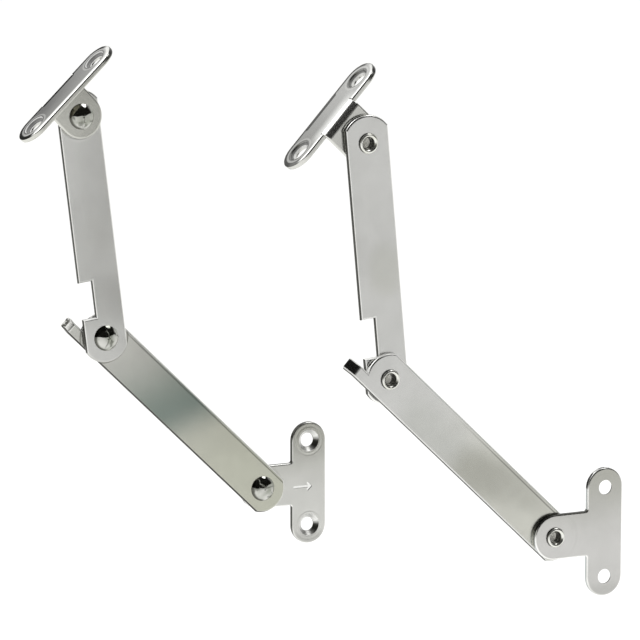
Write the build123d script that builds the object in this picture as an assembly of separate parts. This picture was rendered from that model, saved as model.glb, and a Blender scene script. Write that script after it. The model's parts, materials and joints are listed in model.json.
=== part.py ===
from build123d import *
import math
import os

# Pair of folding flap stays for a cabinet flap, one for each side panel, in bright
# nickel-plated steel. All sizes are millimetres, Z is up, and X runs along the side
# panels. The left stay's wall plate lies on the plane Y = 0 and its layers stack
# towards -Y, into the cabinet. The right stay is its mirror image on the facing
# panel, so its layers stack towards +Y.

# Driving dimensions of one stay
sheet_t = 2.0
strip_w = 16.0
hole_spacing = 32.0
bar_w = 14.0
screw_hole_d = 5.2
csk_d = 8.2
csk_angle = 90.0
lower_len = 88.5
upper_len = 81.5
neck_reach = 20.0
neck_w = 16.0
eye_r = 9.0
flap_end_r = 9.6

# Stop: the tab on the lower arm and the notch in the upper arm's edge
tab_inner = 3.6
tab_bend_x = 11.3
tab_bend_r = 1.5
tab_bend_deg = 30.0
tab_tip_len = 3.5
notch_start = 8.1
notch_end = 21.6
notch_inner = 2.8

# Flap bracket: the same T blank with its neck bent square
bracket_face_dist = 13.6
bracket_bend_r = 3.0
bracket_hole_line = 8.5

# Semi-tubular rivet
shank_d = 5.0
head_d = 9.2
head_h = 2.0
head_land = 0.25
tail_d = 7.0
tail_h = 0.95
tail_mouth_d = 4.3
tail_bore_d = 3.6
tail_bore_depth = 2.6
tail_flare = 0.5
tail_point = 0.9

# Clearances and small radii
layer_gap = 0.05
pivot_gap = 0.05
edge_r = 0.7
plate_edge_r = 0.6
root_r = 0.8

# Plain stamped direction arrow, the same on both hands
arrow_len = 7.6
arrow_barb = 2.6
arrow_w = 0.9
arrow_depth = 0.25
arrow_tip_x = 1.2
arrow_y = -1.3

# Pose in which the part is stored, as seen from the front: directions in degrees
# from +X towards +Z of each lower arm, upper arm and flap bracket
left_lower_dir = 135.7
left_upper_dir = 96.8
left_flap_dir = 43.4
right_lower_dir = 136.4
right_upper_dir = 95.3
right_flap_dir = 47.0
right_shift_x = 55.3
right_shift_z = 0.5
panel_distance = 125.0

# Sizes that follow from the ones above
half_w = strip_w / 2
layer_pitch = sheet_t + layer_gap
csk_depth = (csk_d - screw_hole_d) / 2 / math.tan(math.radians(csk_angle / 2))


def layer(number):
    # Depth of the wall-side face of a layer: 0 wall plate, 1 lower arm,
    # 2 upper arm, 3 ear of the flap bracket
    return number * layer_pitch


def outline_edges(solid, low, high):
    # Long edges on the two broad faces, without the edges of holes
    found = []
    for edge in solid.edges():
        box = edge.bounding_box()
        flat = box.max.Z - box.min.Z < 0.001
        at_face = abs(box.min.Z - low) < 0.001 or abs(box.min.Z - high) < 0.001
        if flat and at_face:
            found.append(edge)
    return found


def strip_with_eyes(x0, x1, r0, r1):
    # Sheared strip whose two ends are arcs about the pivots, cut off at its width
    long_x0 = x0 - r0
    long_x1 = x1 + r1
    strip = Pos((x0 + x1) / 2, 0) * Rectangle(x1 - x0, strip_w)
    band = Pos((long_x0 + long_x1) / 2, 0) * Rectangle(long_x1 - long_x0, strip_w)
    ends = Pos(x0, 0) * Circle(r0) + Pos(x1, 0) * Circle(r1)
    return strip + (ends & band)


def pivot_hole(x, y, low, radius):
    return Pos(x, y, low + sheet_t / 2) * Cylinder(radius, sheet_t * 3)


def screw_hole(face_level):
    # Through hole whose countersink opens upwards on the face at face_level
    hole = Pos(0, 0, face_level - sheet_t / 2) * Cylinder(screw_hole_d / 2, sheet_t * 2)
    over = 0.2
    high = csk_depth + over
    slope = math.tan(math.radians(csk_angle / 2))
    cone = Cone(screw_hole_d / 2, csk_d / 2 + over * slope, high)
    return hole + Pos(0, 0, face_level + over - high / 2) * cone


def make_wall_plate():
    # T-shaped plate of the side panel: upright bar with two screw holes and a neck
    # that carries the pivot of the lower arm
    low = layer(0)
    bar = SlotOverall(hole_spacing + bar_w, bar_w, rotation=90)
    neck = Pos(-neck_reach / 2, 0) * Rectangle(neck_reach, neck_w)
    neck_end = Pos(-neck_reach, 0) * Circle(neck_w / 2)
    plate = extrude(bar + neck + neck_end, sheet_t)
    roots = []
    for edge in plate.edges().filter_by(Axis.Z):
        middle = edge.center()
        if abs(middle.X + bar_w / 2) < 0.01 and abs(abs(middle.Y) - neck_w / 2) < 0.01:
            roots.append(edge)
    plate = fillet(roots, root_r)
    plate = fillet(outline_edges(plate, low, low + sheet_t), plate_edge_r)
    plate -= Pos(-neck_reach, 0, sheet_t / 2) * Cylinder(shank_d / 2, sheet_t * 3)
    for side in (-1, 1):
        plate -= Pos(0, side * hole_spacing / 2, 0) * screw_hole(low + sheet_t)
    # Stamped arrow on the face that looks into the cabinet
    shaft = Pos(arrow_tip_x - arrow_len / 2, arrow_y) * SlotOverall(arrow_len, arrow_w)
    barb = Pos(-arrow_barb / 2 + arrow_w / 2, 0) * SlotOverall(arrow_barb, arrow_w)
    tip = Pos(arrow_tip_x - arrow_w / 2, arrow_y)
    mark = shaft + tip * Rot(0, 0, 45) * barb + tip * Rot(0, 0, -45) * barb
    plate -= Pos(0, 0, sheet_t - arrow_depth) * extrude(mark, 1.0)
    return plate


def make_lower_arm():
    # Straight strip from the wall pivot at the origin to the elbow at lower_len,
    # with a stop tab past the elbow along its +Y edge, bent up at its tip
    body = strip_with_eyes(0, lower_len, eye_r, eye_r)
    flat_len = lower_len + tab_bend_x
    tab = Pos(flat_len / 2, (half_w + tab_inner) / 2) * Rectangle(flat_len, half_w - tab_inner)
    arm = extrude(body + tab, sheet_t)
    # Side view of the bent tip, drawn along the arm and upwards in depth
    turn = math.radians(tab_bend_deg)
    outer = tab_bend_r + sheet_t
    centre_z = sheet_t + tab_bend_r
    s = math.sin(turn)
    c = math.cos(turn)
    in_end = (flat_len + tab_bend_r * s, centre_z - tab_bend_r * c)
    out_end = (flat_len + outer * s, centre_z - outer * c)
    in_tip = (in_end[0] + tab_tip_len * c, in_end[1] + tab_tip_len * s)
    out_tip = (out_end[0] + tab_tip_len * c, out_end[1] + tab_tip_len * s)
    sh = math.sin(turn / 2)
    ch = math.cos(turn / 2)
    in_mid = (flat_len + tab_bend_r * sh, centre_z - tab_bend_r * ch)
    out_mid = (flat_len + outer * sh, centre_z - outer * ch)
    with BuildPart() as bent:
        with BuildSketch(Plane.XZ):
            with BuildLine():
                Line((flat_len, 0), (flat_len, sheet_t))
                ThreePointArc((flat_len, sheet_t), in_mid, in_end)
                Line(in_end, in_tip)
                Line(in_tip, out_tip)
                Line(out_tip, out_end)
                ThreePointArc(out_end, out_mid, (flat_len, 0))
            make_face()
        extrude(amount=-(half_w - tab_inner))
    arm += Pos(0, tab_inner, 0) * bent.part
    soft = []
    for edge in arm.edges():
        box = edge.bounding_box()
        across = box.max.Y - box.min.Y > half_w - tab_inner - 0.01
        in_tip_zone = box.min.X > flat_len - 0.01
        upright = box.max.Z - box.min.Z > sheet_t - 0.01 and box.max.X - box.min.X < 0.01
        if upright or (in_tip_zone and across):
            continue
        soft.append(edge)
    arm = fillet(soft, edge_r)
    arm -= pivot_hole(0, 0, 0, shank_d / 2 + pivot_gap)
    arm -= pivot_hole(lower_len, 0, 0, shank_d / 2)
    return arm


def make_upper_arm():
    # Straight strip from the elbow at the origin to the flap pivot at upper_len,
    # with the notch for the stop tab in its +Y edge beside the elbow
    body = strip_with_eyes(0, upper_len, eye_r, flap_end_r)
    notch_len = notch_end - notch_start
    notch_w = half_w - notch_inner
    body -= Pos((notch_start + notch_end) / 2, notch_inner + notch_w) * Rectangle(notch_len, 2 * notch_w)
    arm = extrude(body, sheet_t)
    arm = fillet(outline_edges(arm, 0, sheet_t), edge_r)
    arm -= pivot_hole(0, 0, 0, shank_d / 2 + pivot_gap)
    arm -= pivot_hole(upper_len, 0, 0, shank_d / 2)
    return arm


def ear_outline(edge, level):
    # Long edges of the bracket's ear on its broad face at this level
    box = edge.bounding_box()
    on_face = abs(box.min.Z - level) < 0.001 and abs(box.max.Z - level) < 0.001
    return on_face and box.min.Y < 0.01 and box.max.Y < bracket_face_dist - bracket_bend_r + 0.01


def make_bracket():
    # Flap bracket: ear about the flap pivot at the origin, bent square into a
    # T-shaped plate. X runs along the plate, Y is the way the flap lies, and the
    # plate runs on in depth, away from the side panel
    face = bracket_face_dist
    ro = bracket_bend_r
    ri = bracket_bend_r - sheet_t
    ear = Circle(neck_w / 2) + Pos(0, (face - ro) / 2) * Rectangle(neck_w, face - ro)
    with BuildPart() as bend:
        with BuildSketch(Plane.YZ.offset(-neck_w / 2)):
            with BuildLine():
                Line((face - ro, 0), (face - ro, sheet_t))
                RadiusArc((face - ro, sheet_t), (face - sheet_t, ro), -ri)
                Line((face - sheet_t, ro), (face, ro))
                RadiusArc((face, ro), (face - ro, 0), ro)
            make_face()
        extrude(amount=neck_w)
    neck = extrude(ear, sheet_t) + bend.part
    for level in (0, sheet_t):
        neck = fillet([edge for edge in neck.edges() if ear_outline(edge, level)], plate_edge_r)
    # The bar is drawn flat, then stood on the bend, so that its own Y becomes depth
    bar = extrude(SlotOverall(hole_spacing + bar_w, bar_w), sheet_t)
    bar = fillet(outline_edges(bar, 0, sheet_t), plate_edge_r)
    bar -= Pos(0, ro / 2 - bracket_hole_line, 0) * Box(neck_w, ro, sheet_t * 3)
    bar = Pos(0, face - sheet_t, bracket_hole_line) * Rot(90, 0, 0) * mirror(bar, about=Plane.XY)
    bracket = neck + bar
    bracket -= pivot_hole(0, 0, 0, shank_d / 2 + pivot_gap)
    for side in (-1, 1):
        at_hole = Pos(side * hole_spacing / 2, face, bracket_hole_line)
        bracket -= at_hole * Rot(-90, 0, 0) * screw_hole(0)
    return bracket


def make_rivet():
    # Semi-tubular rivet through two layers: button head over the turning layer,
    # rolled tail over the other. Radius runs along X and depth along Z, from the
    # face under the tail
    r = shank_d / 2
    under = 2 * layer_pitch
    rise = head_h - head_land
    dome_r = (head_d**2 / 4 + rise**2) / 2 / rise
    half_turn = math.asin(head_d / 2 / dome_r) / 2
    dome_base = under + head_h - dome_r
    dome_mid = (dome_r * math.sin(half_turn), dome_base + dome_r * math.cos(half_turn))
    bore_r = tail_bore_d / 2
    mouth_r = tail_mouth_d / 2
    tail_r = tail_d / 2
    crest = ((mouth_r + tail_r) / 2, -tail_h)
    with BuildPart() as rivet:
        with BuildSketch(Plane.XZ):
            with BuildLine():
                Line((0, under + head_h), (0, tail_bore_depth + tail_point))
                Line((0, tail_bore_depth + tail_point), (bore_r, tail_bore_depth))
                Line((bore_r, tail_bore_depth), (bore_r, tail_flare))
                ThreePointArc((bore_r, tail_flare), (mouth_r, -0.45 * tail_h), crest)
                ThreePointArc(crest, (tail_r - 0.1 * tail_h, -0.6 * tail_h), (tail_r, 0))
                Line((tail_r, 0), (r, 0))
                Line((r, 0), (r, under))
                Line((r, under), (head_d / 2, under))
                Line((head_d / 2, under), (head_d / 2, under + head_land))
                ThreePointArc((head_d / 2, under + head_land), dome_mid, (0, under + head_h))
            make_face()
        revolve(axis=Axis.Z)
    return rivet.part


def assemble(lower_dir, upper_dir, flap_dir):
    # One stay in its own frame: X and Y in the plane of the side panel, Z the depth
    # from the panel, origin midway between the wall plate's screw holes
    wall = (-neck_reach, 0)
    a = math.radians(lower_dir)
    elbow = (wall[0] + lower_len * math.cos(a), wall[1] + lower_len * math.sin(a))
    b = math.radians(upper_dir)
    flap = (elbow[0] + upper_len * math.cos(b), elbow[1] + upper_len * math.sin(b))
    return {
        "wall_plate": make_wall_plate(),
        "lower_arm": Pos(*wall, layer(1)) * Rot(0, 0, lower_dir) * make_lower_arm(),
        "upper_arm": Pos(*elbow, layer(2)) * Rot(0, 0, upper_dir) * make_upper_arm(),
        "flap_bracket": Pos(*flap, layer(3)) * Rot(0, 0, flap_dir) * make_bracket(),
        "wall_rivet": Pos(*wall, layer(0)) * make_rivet(),
        "elbow_rivet": Pos(*elbow, layer(1)) * make_rivet(),
        "flap_rivet": Pos(*flap, layer(2)) * make_rivet(),
    }


# The left stay stands against the far panel, the right one faces it
left = assemble(left_lower_dir, left_upper_dir, left_flap_dir)
right = assemble(right_lower_dir, right_upper_dir, right_flap_dir)
upright = Rot(90, 0, 0)
facing = Pos(right_shift_x, -panel_distance, right_shift_z)

os.makedirs("parts", exist_ok=True)
for name, solid in left.items():
    export_step(upright * solid, f"parts/left_{name}.step")
for name, solid in right.items():
    export_step(facing * mirror(upright * solid, about=Plane.XZ), f"parts/right_{name}.step")
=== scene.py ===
import json
import math

import bpy
from mathutils import Matrix, Vector

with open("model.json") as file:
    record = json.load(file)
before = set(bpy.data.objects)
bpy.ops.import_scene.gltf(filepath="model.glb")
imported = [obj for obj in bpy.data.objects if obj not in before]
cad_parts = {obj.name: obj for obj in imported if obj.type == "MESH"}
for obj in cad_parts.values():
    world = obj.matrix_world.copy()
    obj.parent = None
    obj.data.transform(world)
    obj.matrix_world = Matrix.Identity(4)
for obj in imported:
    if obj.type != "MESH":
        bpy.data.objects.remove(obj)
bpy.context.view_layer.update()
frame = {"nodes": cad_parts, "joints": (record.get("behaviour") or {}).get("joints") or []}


# Studio: a white table top well below the pair and a light room around it, with the dark shape
# of a stand high at the front left, one broad window at the back left and one small soft lamp
# overhead. The camera stands far off at the left, a little above the parts, on a long lens.
class Value:
    """One socket of a node tree. Arithmetic on it adds Math nodes."""

    def __init__(self, nodes, socket):
        self.nodes = nodes
        self.socket = socket

    def math(self, operation, *others):
        return self.nodes.add("Math", {"operation": operation}, dict(enumerate((self, *others))))

    def __add__(self, other):
        return self.math("ADD", other)

    def __sub__(self, other):
        return self.math("SUBTRACT", other)

    def __rsub__(self, other):
        return self.nodes.add("Math", {"operation": "SUBTRACT"}, {0: other, 1: self})

    def __mul__(self, other):
        return self.math("MULTIPLY", other)

    __radd__ = __add__
    __rmul__ = __mul__

    def ramp(self, low, high):
        """0 below low, 1 above high, and smooth between. It falls where low is above high."""
        ends = {"Value": self, "From Min": low, "From Max": high}
        return self.nodes.add("MapRange", {"interpolation_type": "SMOOTHSTEP"}, ends)

    def line(self, centre, half, soft):
        """1 within half of centre, and down to 0 over soft on both sides."""
        return (self - centre).math("ABSOLUTE").ramp(half + soft, half)


class Nodes:
    """The node tree of one finish, of the table or of the room."""

    def __init__(self, owner):
        owner.use_nodes = True
        self.tree = owner.node_tree
        self.tree.nodes.clear()

    def add(self, kind, settings=None, inputs=None, out=0):
        node = self.tree.nodes.new("ShaderNode" + kind)
        for key, value in (settings or {}).items():
            setattr(node, key, value)
        for key, value in (inputs or {}).items():
            if isinstance(value, Value):
                self.tree.links.new(value.socket, node.inputs[key])
            else:
                node.inputs[key].default_value = value
        return Value(self, node.outputs[out]) if node.outputs else None

    def mix(self, factor, first, second):
        """Colour between first and second."""
        plain = [(*c, 1.0) if isinstance(c, tuple) else c for c in (first, second)]
        ends = {0: factor, 6: plain[0], 7: plain[1]}
        return self.add("Mix", {"data_type": "RGBA"}, ends, out=2)

    def vector(self, operation, first, second, out=0):
        return self.add("VectorMath", {"operation": operation}, {0: first, 1: second}, out)

    def dot(self, first, second):
        return self.vector("DOT_PRODUCT", first, second, out=1)


scene = bpy.context.scene
scene.view_settings.view_transform = "Standard"

azimuth = math.radians(-26.45)
elevation = math.radians(9.69)
level = math.cos(elevation)
back = Vector((math.sin(azimuth) * level, -math.cos(azimuth) * level, math.sin(elevation)))
right = Vector((math.cos(azimuth), math.sin(azimuth), 0))
lens = bpy.data.cameras.new("long_lens")
lens.lens = 225
lens.sensor_width = 36
lens.clip_end = 50
camera = bpy.data.objects.new("camera", lens)
camera.matrix_world = Matrix((right, back.cross(right), back)).transposed().to_4x4()
camera.location = (-0.64633, -1.31051, 0.31066)
scene.collection.objects.link(camera)
scene.camera = camera

middle_of_pair = Vector((-0.03, -0.06, 0.07))
lamp_distance = 1.3
soft_light = {
    "window": ((-0.56, 0.30, 0.77), 1.35, 8.8),
    "overhead_lamp": ((0.47, -0.26, 0.84), 0.54, 2.6),
}
for name, (towards, size, watts) in soft_light.items():
    lamp = bpy.data.lights.new(name, "AREA")
    lamp.shape = "DISK"
    lamp.size = size
    lamp.energy = watts
    holder = bpy.data.objects.new(name, lamp)
    towards = Vector(towards).normalized()
    holder.location = middle_of_pair + towards * lamp_distance
    holder.rotation_euler = towards.to_track_quat("Z", "Y").to_euler()
    scene.collection.objects.link(holder)

room = bpy.data.worlds.new("room")
scene.world = room
sky = Nodes(room)
direction = sky.add("TexCoord", out="Generated")
across = sky.dot(direction, (1, 0, 0))
depth = sky.dot(direction, (0, 1, 0))
height = sky.dot(direction, (0, 0, 1))
# The stand fills the upper front of the room, down to a slanting lower edge on the left, and
# a dark skirting runs along the back just above the table
across_its_edge = (-0.351, 0.093, 0.932)
above_edge = sky.dot(direction, across_its_edge).ramp(-0.28, -0.24)
stand = above_edge * depth.ramp(0.02, -0.26)
stand_tone = sky.mix(across.ramp(-0.80, -0.88), (0.012, 0.012, 0.01), (0.30, 0.29, 0.22))
wall = sky.mix(height.ramp(0.2, 0.9), (0.98, 0.98, 0.97), (0.80, 0.80, 0.79))
skirting = height.line(0.06, 0.12, 0.05) * depth.ramp(0.72, 0.86)
wall = sky.mix(skirting * 0.9, wall, (0.02, 0.02, 0.02))
mirrored_room = sky.mix(stand, wall, stand_tone)
seen = sky.add("LightPath", out="Is Camera Ray") + sky.add("LightPath", out="Is Transmission Ray")
light = sky.mix(sky.add("LightPath", out="Is Glossy Ray"), (0.95, 0.95, 0.95), mirrored_room)
light = sky.mix(seen, light, (1.0, 1.0, 1.0))
sky.add("OutputWorld", {}, {"Surface": sky.add("Background", {}, {"Color": light})})

# The table lies below the reach of a stay that hangs straight down
table_height = -0.25
bpy.ops.mesh.primitive_plane_add(size=24, location=(0, 0, table_height))
table = bpy.context.object
table.name = "table_top"
table.data.materials.append(bpy.data.materials.new("pale_table"))
top = Nodes(table.data.materials[0])
paint = top.add("BsdfDiffuse", {}, {"Color": (0.90, 0.90, 0.89, 1)})
glow = top.add("Emission", {}, {"Color": (1, 1, 1, 1), "Strength": 0.17})
seen = top.add("LightPath", out="Is Camera Ray") + top.add("LightPath", out="Is Transmission Ray")
seen = seen + top.add("LightPath", out="Is Glossy Ray")
white = top.add("AddShader", {}, {0: paint, 1: glow})
top.add("OutputMaterial", {}, {"Surface": top.add("MixShader", {}, {0: seen, 1: paint, 2: white})})


# Wall plates: T-shaped blanks of 2 mm mild steel, punched, countersunk and barrel-plated with
# bright nickel. The left one shows the countersunk face with its stamped arrow, the right one
# its plain wall side. The sheared sides are darker from their rough cut and from painted shade,
# the rounded edges carry a painted highlight, and the screw holes keep faint rings.
class Nickel(Nodes):
    """The nickel plate on one piece, with what every piece mixes in its own way."""

    def __init__(self, piece):
        finish = bpy.data.materials.new(piece + "_nickel")
        super().__init__(finish)
        body = frame["nodes"][piece].data
        body.materials.clear()
        body.materials.append(finish)
        self.place = self.add("TexCoord", out="Object")
        self.facing = self.add("TexCoord", out="Normal")
        self.flatness = self.dot(self.facing, (0, 1, 0)).math("ABSOLUTE")
        self.cloud = self.noise(45.0, 3.0)
        self.grain = self.noise(1500.0, 2.0)
        self.painted_light_area = None

    def noise(self, scale, detail=2.0):
        return self.add("TexNoise", {}, {"Vector": self.place, "Scale": scale, "Detail": detail})

    def depth(self):
        return self.dot(self.place, (0, 1, 0))

    def turned(self, degrees):
        """How far a face turns towards this direction of the side panel."""
        turn = math.radians(degrees)
        return self.dot(self.facing, (math.cos(turn), 0, math.sin(turn)))

    def edges(self, colour, dark_way, low, high, side=(0.05, 0.05, 0.045)):
        """Paint a highlight on the rounded edges, and paint shade on the rough sheared sides and
        one side more.
        """
        rounded = self.flatness.ramp(0.985, 0.9)
        sheared = self.flatness.ramp(0.3, 0.1)
        colour = self.mix(rounded * 0.8, colour, (0.85, 0.85, 0.83))
        colour = self.mix(sheared, colour, side)
        return self.mix(self.turned(dark_way).ramp(low, high), colour, (0.04, 0.04, 0.035))

    def paint_pale_light(self, colour, where, tone):
        """Paint light as a flat pale tone onto an edge, a hollow or a countersink, in place of the
        mirror finish.
        """
        self.painted_light_area = where if self.painted_light_area is None else self.painted_light_area.math("MAXIMUM", where)
        return self.mix(where, colour, tone)

    def from_pivot(self, pivot, degrees):
        """Distance along a piece from its pivot, and sideways, in millimetres."""
        away = self.vector("SUBTRACT", self.place, pivot)
        ways = []
        for turned in (degrees, degrees + 90):
            way = (math.cos(math.radians(turned)), 0, math.sin(math.radians(turned)))
            ways.append(self.dot(away, way) * 1000)
        return ways

    def radius(self, centre):
        """Distance from an axis through the sheet, in millimetres."""
        flat = self.vector("MULTIPLY", self.place, (1, 0, 1))
        return self.vector("DISTANCE", flat, (centre[0], 0, centre[2]), out=1) * 1000

    def patch(self, along, sideways, centre, size):
        """Soft uneven patch, 1 in its middle, centre and size along and sideways."""
        u = (along - centre[0]) * (1 / size[0])
        v = (sideways - centre[1]) * (1 / size[1])
        return (u * u + v * v + self.cloud * 1.2).ramp(1.6, 0.5)

    def plate(self, colour, roughness, height=None, strength=0.4):
        """Put the finish together: uneven tone, painted shade on the flats, fine grain and slight
        waves in the sheet.
        """
        cloudy = self.cloud.ramp(0.3, 0.7) * 0.1
        speckled = self.noise(220.0, 3.0).ramp(0.35, 0.65) * 0.05
        mottled = self.mix(cloudy + speckled, colour, (0.2, 0.2, 0.18))
        # The flat faces are painted a little darker, painted shade against the glowing table they
        # mirror
        flat_shade = self.flatness.ramp(0.9, 0.985) * 0.065
        mottled = self.mix(flat_shade, mottled, (0.0, 0.0, 0.0))
        waves = self.cloud * 0.3 + self.grain * 0.004
        if height is not None:
            waves = waves + height
        bumpy = self.add("Bump", {}, {"Height": waves, "Distance": 0.0002, "Strength": strength})
        rough = roughness + self.grain * 0.06
        metal = 1.0 if self.painted_light_area is None else 1 - self.painted_light_area * 0.8
        body = {"Base Color": mottled, "Metallic": metal, "Roughness": rough, "Normal": bumpy}
        shader = self.add("BsdfPrincipled", {}, body)
        self.add("OutputMaterial", {}, {"Surface": shader})


joint_at = {joint["name"]: tuple(joint["pos_m"]) for joint in frame["joints"]}
wall_plates = {
    "left": {
        "middle": (0.0, 0.0, 0.0), "face_y": -0.002, "inward": -1,
        "foot": (0.61, 0.61, 0.585), "head": (0.42, 0.42, 0.38),
        "hole_rings": 1.0, "rivet_shade": 0.2, "foot_darkening": 0.6,
    },
    "right": {
        "middle": (0.0553, -0.125, 0.0005), "face_y": -0.123, "inward": 1,
        "foot": (0.60, 0.595, 0.58), "head": (0.43, 0.43, 0.39),
        "hole_rings": 0.2, "rivet_shade": 0.07, "foot_darkening": 0.35,
    },
}
hole_from_middle = 16
countersink_slope = 0.707

for hand, bar in wall_plates.items():
    steel = Nickel(hand + "_wall_plate")
    up, sideways = steel.from_pivot(bar["middle"], 90)
    colour = steel.mix(up.ramp(-4, 24), bar["foot"], bar["head"])
    rings = hollows = 0
    for hole_up in (-hole_from_middle, hole_from_middle):
        centre = (bar["middle"][0], 0, bar["middle"][2] + hole_up / 1000)
        from_hole = steel.radius(centre)
        pressed = from_hole.line(5.4, 0.15, 0.35) * -0.25 + from_hole.line(4.7, 0.1, 0.3) * 0.15
        rings = rings + pressed * bar["hole_rings"]
        sloped = steel.dot(steel.facing, (0, -1, 0)).line(countersink_slope, 0.05, 0.05)
        hollows = hollows + sloped * from_hole.ramp(4.6, 4.4)
    # Painted shade rings around the rivet, along the round end of the arm
    from_rivet = steel.radius(joint_at[hand + "_wall_pivot"])
    wear_and_shade = from_rivet.line(8.6, 0.2, 0.5) + from_rivet.line(7.2, 0.1, 0.4) * 0.6
    colour = steel.mix(wear_and_shade * bar["rivet_shade"], colour, (0.25, 0.25, 0.22))
    # Painted shade on the sheared sides and on the sides turned one way, painted highlight on the
    # rounded edges
    if hand == "left":
        colour = steel.edges(colour, dark_way=155, low=0.45, high=0.7)
    else:
        colour = steel.edges(colour, dark_way=95, low=0.35, high=0.55, side=(0.40, 0.42, 0.42))
        # On the top arc the rounded edge gets a softer painted highlight and two short bits of
        # painted shade
        top_arc = up.ramp(15.5, 16.5)
        rounded = steel.flatness.ramp(0.985, 0.94)
        colour = steel.mix(rounded * top_arc, colour, (0.66, 0.66, 0.65))
        outer_arc_shade = steel.turned(160).ramp(0.84, 0.90)
        upper_arc_shade = steel.turned(99).ramp(0.975, 0.99)
        arc_shade = outer_arc_shade.math("MAXIMUM", upper_arc_shade)
        colour = steel.mix(arc_shade * top_arc, colour, (0.03, 0.03, 0.03))
    # Darker towards the foot of the plate
    colour = steel.mix(up.ramp(-17, -21) * bar["foot_darkening"], colour, (0.38, 0.38, 0.36))
    # The floor of the stamped arrow is painted bright, a painted highlight
    sunk = (steel.depth() - bar["face_y"]).math("ABSOLUTE").ramp(0.00005, 0.00015)
    groove = sunk * steel.dot(steel.facing, (0, bar["inward"], 0)).ramp(0.9, 0.95)
    in_arrow = up.line(-1.3, 3.2, 0.2) * sideways.line(2.6, 4.6, 0.2) * groove
    colour = steel.mix(in_arrow, colour, (0.95, 0.95, 0.93))
    steel.plate(colour, roughness=0.22 + hollows * 0.15, height=rings)


# Wall rivets: semi-tubular steel rivets, headed over the arm with their tails rolled out on
# the wall side. The left heads are bright and dented by the press, with dark lines and patches
# painted on as reflections and a painted shade crescent at the lower left rim; the right tails
# are a little duller, with painted light in the hollow and painted shade on one side.
rivet_joint = {"wall": "wall_pivot", "elbow": "elbow", "flap": "flap_pivot"}


def rivet_finish(hand, place, dent_scale):
    rivet = Nickel(hand + "_" + place + "_rivet")
    patchy = rivet.noise(260.0).ramp(0.35, 0.7)
    if hand == "left":
        shine = rivet.mix(patchy, (0.54, 0.54, 0.51), (0.32, 0.33, 0.29))
        # Dark lines and patches on the head are painted reflections of the arms and seams
        cell = {"Vector": rivet.place, "Scale": 120.0}
        reflection_lines = rivet.add("TexVoronoi", {"feature": "DISTANCE_TO_EDGE"}, cell)
        wear_and_shade = reflection_lines.ramp(0.05, 0.01) * rivet.noise(200.0).ramp(0.45, 0.6) * 0.6
        wear_and_shade = wear_and_shade.math("MAXIMUM", rivet.noise(420.0, 1.0).ramp(0.58, 0.68) * 0.6)
        shine = rivet.mix(wear_and_shade, shine, (0.05, 0.055, 0.04))
        # Painted shade: a dark crescent along the lower left rim of the head
        rim_crescent_shade = rivet.flatness.ramp(0.86, 0.79) * rivet.turned(205).ramp(0.15, 0.4)
        shine = rivet.mix(rim_crescent_shade * 0.9, shine, (0.05, 0.05, 0.04))
        rough = 0.05
    else:
        shine = rivet.mix(patchy, (0.80, 0.80, 0.76), (0.66, 0.66, 0.60))
        # Painted light in the hollow of the tail
        hollow = rivet.radius(joint_at[hand + "_" + rivet_joint[place]]).ramp(2.0, 1.7)
        shine = rivet.paint_pale_light(shine, hollow * 0.9, (0.90, 0.89, 0.84))
        # Painted shade on the left side of the rolled tail
        outer = rivet.flatness.ramp(0.75, 0.5) * rivet.turned(170).ramp(0.1, 0.5)
        shine = rivet.mix(outer, shine, (0.06, 0.06, 0.055))
        rough = 0.26 + hollow * 0.2
    dents = rivet.noise(dent_scale, 1.0) * 1.6
    rivet.plate(shine, rough, height=dents, strength=0.6)


rivet_finish("left", "wall", dent_scale=330.0)
rivet_finish("right", "wall", dent_scale=330.0)


# Lower arms: 16 mm strip, sheared to length with round ends, the stop tab bent up beyond the
# elbow. The left one has a dull greenish band of thin plating across its middle, the right
# one a duller stretch near its wall end.
lower_arm_way = {"left": 135.7, "right": 136.4}

steel = Nickel("left_lower_arm")
way = lower_arm_way["left"]
along, sideways = steel.from_pivot(joint_at["left_wall_pivot"], way)
colour = steel.mix(along.ramp(14, 84), (0.49, 0.495, 0.42), (0.52, 0.52, 0.49))
slanting = along - sideways * 0.5
colour = steel.mix(slanting.ramp(30, 48) * slanting.ramp(80, 48), colour, (0.21, 0.25, 0.225))
# A painted dark reflection as a line inside the upper right edge
edge_line = sideways.line(-6.85, 0.1, 0.2)
colour = steel.mix(edge_line * 0.7, colour, (0.06, 0.06, 0.055))
polished = steel.patch(along, sideways, centre=(82, -3), size=(10, 7))
colour = steel.mix(polished * 0.6, colour, (0.66, 0.66, 0.62))
# Painted shade along the round end of the upper arm at the elbow
elbow_gap_shade = steel.radius(joint_at["left_elbow"]).line(9.35, 0.12, 0.25)
colour = steel.mix(elbow_gap_shade * 0.7, colour, (0.12, 0.12, 0.10))
# Painted shade on the lower left side, and a painted highlight as a pale strip along the upper
# right edge
colour = steel.edges(colour, dark_way=way + 90, low=0.15, high=0.45)
colour = steel.paint_pale_light(colour, steel.turned(way - 90).ramp(0.12, 0.3), (0.66, 0.66, 0.64))
tip_bend = math.radians(30)
out_along_arm = Vector((math.cos(math.radians(way)), 0, math.sin(math.radians(way))))
tip_way = out_along_arm * math.cos(tip_bend) + Vector((0, -1, 0)) * math.sin(tip_bend)
tip_end = steel.dot(steel.facing, tip_way).ramp(0.85, 0.95)
torn = steel.mix(steel.noise(700.0).ramp(0.42, 0.55), (0.10, 0.10, 0.09), (0.62, 0.62, 0.60))
colour = steel.mix(tip_end, colour, torn)
steel.plate(colour, roughness=0.22 + tip_end * 0.4)

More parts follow.
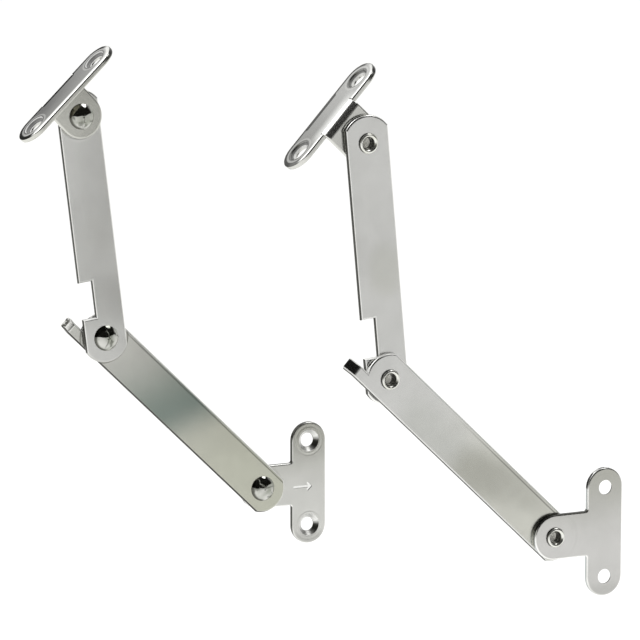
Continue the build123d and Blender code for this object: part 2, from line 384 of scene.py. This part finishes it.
steel = Nickel("right_lower_arm")
way = lower_arm_way["right"]
along, sideways = steel.from_pivot(joint_at["right_wall_pivot"], way)
colour = steel.mix(along.ramp(30, 75), (0.58, 0.58, 0.53), (0.60, 0.60, 0.585))
slanting = along - sideways * 1.5
duller = steel.patch(slanting, sideways, centre=(33, 0), size=(24, 15))
colour = steel.mix(duller * 0.85, colour, (0.375, 0.375, 0.335))
muted = along.line(63, 8, 11) * sideways.ramp(-9, 3)
colour = steel.mix(muted * 0.9, colour, (0.525, 0.53, 0.505))
# A painted dark reflection as a line inside the upper right edge
edge_line = sideways.line(-6.6, 0.1, 0.25) * along.ramp(62, 30)
colour = steel.mix(edge_line * 0.6, colour, (0.10, 0.10, 0.095))
# Painted shade on the lower left side, and a painted highlight as a pale strip along the upper
# right edge
colour = steel.edges(colour, dark_way=way + 90, low=0.55, high=0.8)
colour = steel.paint_pale_light(colour, steel.turned(way - 90).ramp(0.15, 0.35), (0.62, 0.62, 0.60))
# The bent face of the stop tab is painted dark, a painted dark reflection
tab_face = steel.dot(steel.facing, (0, -1, 0)).ramp(0.80, 0.86) * along.ramp(99.6, 100.6)
colour = steel.mix(tab_face, colour, (0.15, 0.15, 0.145))
# A painted highlight as a pale band along the lower left edge
downward = steel.turned(way + 90)
pale_band = downward.ramp(0.08, 0.25) * downward.ramp(0.75, 0.6)
colour = steel.paint_pale_light(colour, pale_band, (0.74, 0.74, 0.72))
steel.plate(colour, roughness=0.22)


# Elbow rivets: the same semi-tubular rivet as at the wall, fast in the lower arm and a
# running fit in the upper one, headed over the upper arm.
rivet_finish("left", "elbow", dent_scale=300.0)
rivet_finish("right", "elbow", dent_scale=300.0)


# Upper arms: 16 mm strip like the lower ones, with the notch for the stop tab sheared out of
# one side. The plating is even, a little brighter on the right one.
upper_arms = {
    "left": {"way": 96.8, "tone": (0.59, 0.59, 0.575), "wear_and_shade": 0.2, "brightest": 1.22},
    "right": {"way": 95.3, "tone": (0.60, 0.60, 0.585), "wear_and_shade": 0.6, "brightest": 1.12},
}

for hand, strip in upper_arms.items():
    steel = Nickel(hand + "_upper_arm")
    way = strip["way"]
    along, sideways = steel.from_pivot(joint_at[hand + "_elbow"], way)
    wear_and_shade = steel.patch(along, sideways, centre=(38, -2), size=(12, 8)) * strip["wear_and_shade"]
    colour = steel.mix(wear_and_shade, strip["tone"], (0.50, 0.50, 0.46))
    bright = tuple(strip["brightest"] * c for c in strip["tone"])
    colour = steel.mix(along.ramp(40, 75) * 0.5, colour, bright)
    if hand == "left":
        colour = steel.mix(along.line(13, 4, 9) * 0.5, colour, (0.45, 0.45, 0.435))
        from_flap = steel.radius(joint_at["left_flap_pivot"])
        # A painted light ring and a painted shade ring around the flap rivet
        colour = steel.mix(from_flap.line(8.9, 0.2, 0.6) * 0.3, colour, (0.8, 0.8, 0.77))
        colour = steel.mix(from_flap.line(8.3, 0.1, 0.3) * 0.35, colour, (0.15, 0.15, 0.13))
    # Painted shade on the sheared sides and the left side, painted highlight on the floor of the
    # notch
    colour = steel.edges(colour, dark_way=way + 90, low=0.55, high=0.8)
    notch_floor = steel.turned(way).ramp(0.2, 0.45) * along.ramp(30, 20)
    colour = steel.paint_pale_light(colour, notch_floor, (0.80, 0.80, 0.78))
    if hand == "left":
        # Painted shade tones down the round end's edge at the elbow, and black painted shade marks
        # the far edge of the notch floor
        colour = steel.mix(steel.turned(way + 180).ramp(0.1, 0.35), colour, (0.46, 0.46, 0.44))
        far_edge = notch_floor * steel.depth().ramp(-0.0054, -0.0051)
        colour = steel.mix(far_edge, colour, (0.02, 0.02, 0.02))
    steel.plate(colour, roughness=0.22)


# Flap rivets: the same semi-tubular rivet again, fast in the upper arm and a running fit in
# the ear of the flap bracket.
rivet_finish("left", "flap", dent_scale=310.0)
rivet_finish("right", "flap", dent_scale=310.0)


# Flap brackets: the wall plate's T blank with its neck bent square, so that the bar with its
# two countersunk holes faces the flap and the ear stands against the upper arm. The bar is painted
# darker than the ear as shade, its near rim has a painted highlight and its far rim black painted
# shade, and each hole has a fine pressed ring with painted light and shade in its countersink.
flap_bracket_way = {"left": 43.4, "right": 47.0}
bar_line = 8.5

for hand, way in flap_bracket_way.items():
    steel = Nickel(hand + "_flap_bracket")
    pivot = joint_at[hand + "_flap_pivot"]
    along = steel.from_pivot(pivot, way)[0]
    inward = (steel.depth() - pivot[1]).math("ABSOLUTE") * 1000 - bar_line
    from_middle = along.math("ABSOLUTE")
    beside_hole = from_middle - hole_from_middle
    past_hole = beside_hole.math("MAXIMUM", 0)
    rim = (past_hole * past_hole + inward * inward).math("SQRT")
    from_hole = (beside_hole * beside_hole + inward * inward).math("SQRT")
    on_bar = steel.turned(way + 90)
    cone = on_bar.line(countersink_slope, 0.05, 0.05) * from_hole.ramp(4.5, 4.3)
    if hand == "left":
        ear = (0.56, 0.56, 0.52)
        near = inward
        # The bar is painted darker than the ear, darkest at one end, as painted shade, with a
        # painted highlight along the near rim
        bar = steel.mix(along.ramp(-14, 22), (0.085, 0.085, 0.085), (0.28, 0.28, 0.275))
        bar = steel.mix(near.ramp(-4, 6) * 0.45, bar, (0.38, 0.38, 0.37))
        bar = steel.mix(rim.ramp(4.9, 5.7) * near.ramp(-1.5, 1.5), bar, (0.95, 0.95, 0.93))
        # Painted light over the countersink and a line of painted shade inside it
        pale_cone, pale_tone = cone, (0.68, 0.68, 0.67)
        dark_cone, dark_tone = cone * from_hole.line(3.0, 0.08, 0.15) * 0.85, (0.03, 0.03, 0.03)
        far_rim_shade_share = 1.0
    else:
        ear = (0.58, 0.58, 0.55)
        near = inward * -1
        # The bar is painted darker than the ear towards one end as painted shade, with a painted
        # highlight as a white band and along the near rim
        bar = steel.mix(along.ramp(-22, 18), (0.28, 0.28, 0.27), (0.52, 0.52, 0.51))
        bar = steel.mix(near.ramp(0.5, 6.5) * along.line(-1, 6, 8), bar, (0.95, 0.95, 0.93))
        bar = steel.mix(rim.ramp(5.4, 6.2) * near.ramp(0, 3), bar, (0.85, 0.85, 0.83))
        # Painted light in the inner part of the countersink and painted shade in its outer part
        pale_cone, pale_tone = cone * from_hole.ramp(3.9, 3.5), (0.66, 0.66, 0.64)
        dark_cone, dark_tone = cone * from_hole.ramp(3.5, 3.9), (0.30, 0.30, 0.29)
        far_rim_shade_share = 0.8
    bar = steel.mix(from_hole.line(5.0, 0.2, 0.3) * 0.35, bar, (0.75, 0.75, 0.73))
    round_end = along.ramp(-16, -19) * near.ramp(6.5, 4.5)
    on_neck = from_middle.ramp(8.6, 7.6)
    far_side = near.ramp(1.0, -2.5).math("MAXIMUM", round_end)
    far_rim = (rim + on_neck * 0.9).ramp(5.2, 5.7) * far_side
    colour = steel.mix(on_bar.ramp(0.25, 0.5), ear, bar)
    # The back face of the bar is painted dark olive, a painted reflection of the stand
    colour = steel.mix(on_bar.ramp(-0.6, -0.9), colour, (0.20, 0.19, 0.145))
    # Painted black shade at the far end of the bar
    bar_end_shade = along.ramp(19.0, 20.5) * near.ramp(-4.5, -2.5) * on_bar.ramp(0.85, 0.6)
    colour = steel.mix(bar_end_shade, colour, (0.01, 0.01, 0.01))
    colour = steel.paint_pale_light(colour, pale_cone, pale_tone)
    colour = steel.mix(dark_cone, colour, dark_tone)
    # Painted black shade along the far rim of the bar
    far_rim_shade = far_rim * on_bar.ramp(0.3, 0.5) * far_rim_shade_share
    colour = steel.mix(far_rim_shade, colour, (0.0, 0.0, 0.0))
    # Painted shade lines at the lip of the countersink
    lip = from_hole.line(4.3, 0.1, 0.25) * 0.5
    lip = lip.math("MAXIMUM", cone * from_hole.line(3.5, 0.2, 0.25) * 0.8)
    colour = steel.mix(lip * on_bar.ramp(0.5, 0.6), colour, (0.02, 0.02, 0.02))
    steel.plate(colour, roughness=0.2 + far_rim_shade * 0.5)
